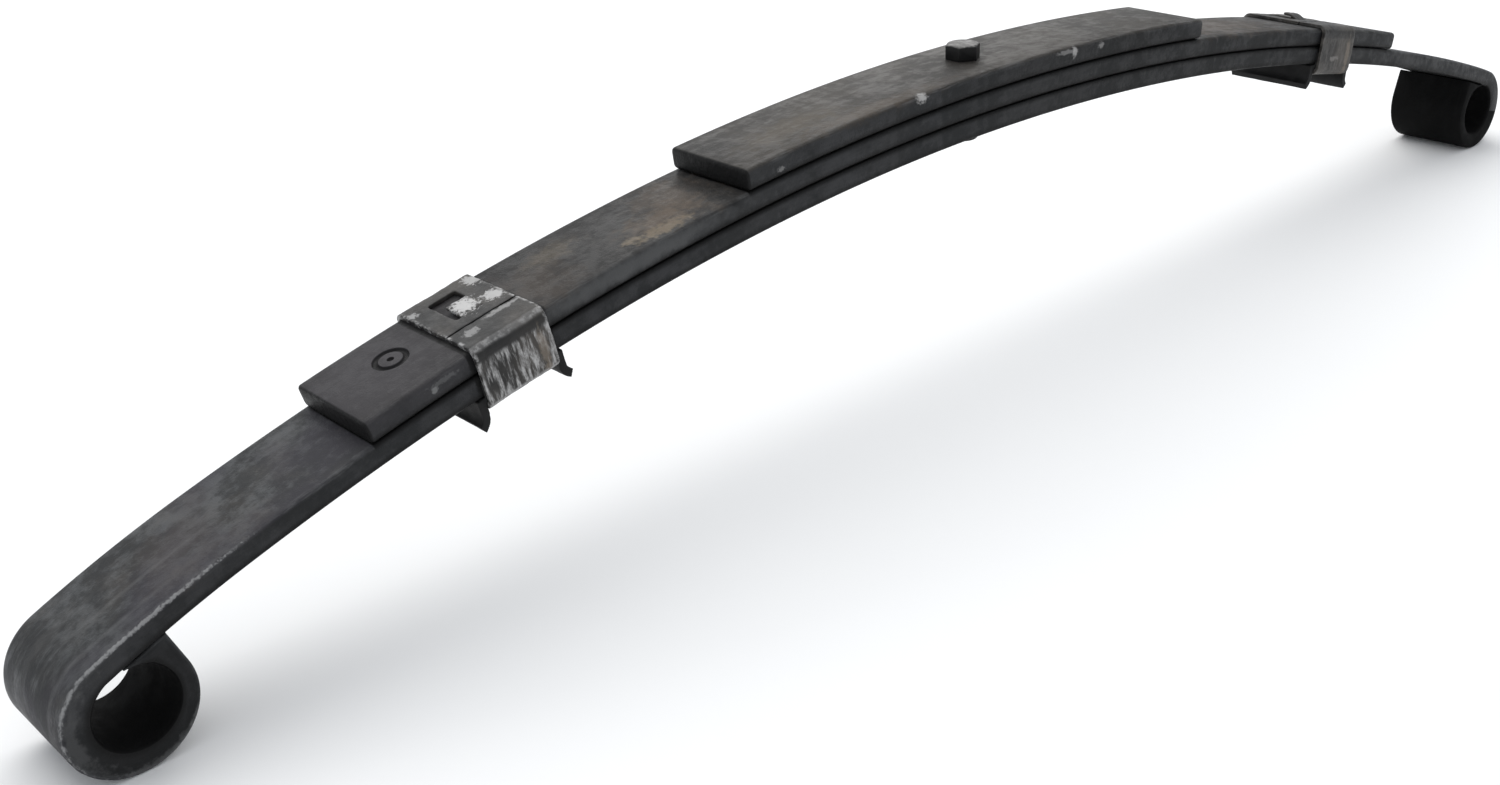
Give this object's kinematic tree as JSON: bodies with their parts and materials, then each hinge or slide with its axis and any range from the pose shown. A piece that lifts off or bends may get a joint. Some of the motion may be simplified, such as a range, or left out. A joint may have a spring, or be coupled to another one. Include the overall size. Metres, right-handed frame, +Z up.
{
  "type": "leaf spring",
  "caption": "Semi-elliptic leaf spring with rolled eyes at both ends, graduated leaves clamped by a centre bolt and folded steel clips that keep the leaves in line.",
  "frame": {"origin": "under the middle of the spring's box, on the surface that its two eyes stand on", "axes": "+X along the spring from its short side to its long side, +Y across the leaves, +Z up through the arch, from the main leaf to the third leaf"},
  "size_m": [1.2758, 0.0712, 0.2107],
  "materials": {
    "leaf_paint": "satin dark grey paint, scuffed",
    "bolt_steel": "dark paint worn on the corners",
    "clip_steel": "painted steel, scraped bright",
    "liner_rubber": "matt black"
  },
  "bodies": {
    "eye_leaf": {"main_leaf": "leaf_paint"},
    "spring_centre": {"second_leaf": "leaf_paint", "third_leaf": "leaf_paint", "center_bolt": "bolt_steel", "center_nut": "bolt_steel"},
    "short_clip": {"short_side_clip": "clip_steel", "short_side_clip_liner": "liner_rubber"},
    "long_clip": {"long_side_clip": "clip_steel", "long_side_clip_liner": "liner_rubber"}
  },
  "joints": [
    {"name": "spring_travel", "type": "slide", "parent": "eye_leaf", "child": "spring_centre", "axis": [0, 0, -1], "range_m": [0, 0.09], "stiffness_N_per_m": 120000, "deforming": ["main_leaf", "second_leaf"]},
    {"name": "short_clip_tilt", "type": "hinge", "parent": "eye_leaf", "child": "short_clip", "pos_m": [-0.51716, 0, 0.12259], "axis": [0, 1, 0], "range_deg": [0, 12.5]},
    {"name": "long_clip_tilt", "type": "hinge", "parent": "eye_leaf", "child": "long_clip", "pos_m": [0.50734, 0, 0.12476], "axis": [0, -1, 0], "range_deg": [0, 12]}
  ],
  "couplings": [
    {"joint": "short_clip_tilt", "follows": "spring_travel", "rad_per_m": 2.4173},
    {"joint": "long_clip_tilt", "follows": "spring_travel", "rad_per_m": 2.2997}
  ]
}
